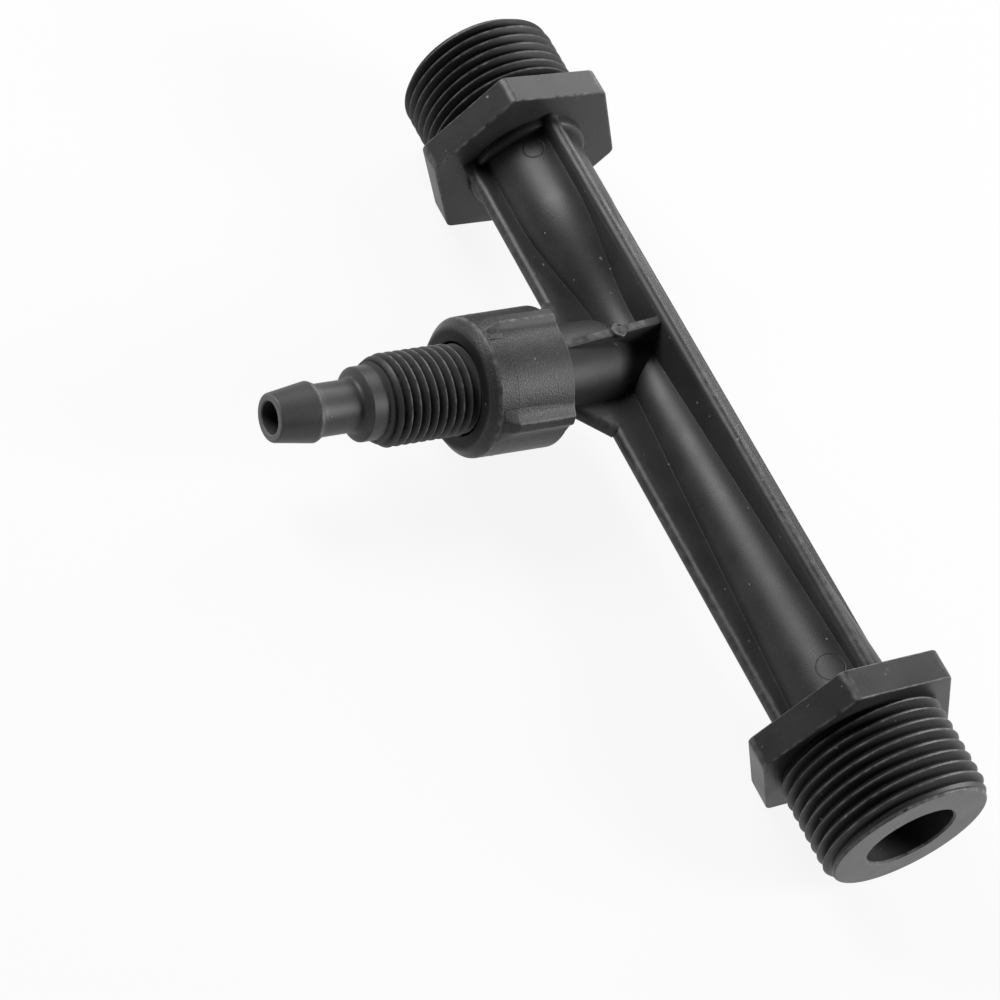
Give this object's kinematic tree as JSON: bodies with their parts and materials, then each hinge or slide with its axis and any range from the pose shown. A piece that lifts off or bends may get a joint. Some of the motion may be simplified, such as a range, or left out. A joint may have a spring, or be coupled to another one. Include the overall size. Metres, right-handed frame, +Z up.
{
  "type": "venturi fertilizer injector",
  "caption": "Inline black plastic venturi tube with male threaded ends, hex collars and cross ribs, and a side suction branch with a coupling nut and a barbed hose tail.",
  "frame": {"origin": "centre of the inlet bore at the inlet end face, on the flow axis", "axes": "+X along the flow from inlet to outlet, the suction branch along -Y, +Z up with the part lying on a flat of each hex"},
  "size_m": [0.149, 0.083, 0.0302],
  "materials": {
    "body_plastic": "satin moulded black polypropylene",
    "nut_plastic": "finely textured moulded black polypropylene",
    "tail_plastic": "smooth moulded black polypropylene",
    "washer_rubber": "plain black sealing rubber",
    "ball_plastic": "smooth pale plastic ball"
  },
  "bodies": {
    "injector_body": {"body": "body_plastic"},
    "tail": {"suction_tail": "tail_plastic", "sealing_washer": "washer_rubber"},
    "nut": {"coupling_nut": "nut_plastic"},
    "ball": {"check_ball": "ball_plastic"}
  },
  "joints": [
    {"name": "tail_travel", "type": "slide", "parent": "injector_body", "child": "tail", "axis": [0, -1, 0], "range_m": [0, 0.008]},
    {"name": "nut_turn", "type": "hinge", "parent": "tail", "child": "nut", "pos_m": [0.0614, -0.026, 0], "axis": [0, -1, 0], "range_deg": [0, 1440]},
    {"name": "ball_lift", "type": "slide", "parent": "injector_body", "child": "ball", "axis": [0, 1, 0], "range_m": [0, 0.0035]}
  ],
  "couplings": [
    {"joint": "nut_turn", "follows": "tail_travel", "rad_per_m": 3141.6}
  ]
}
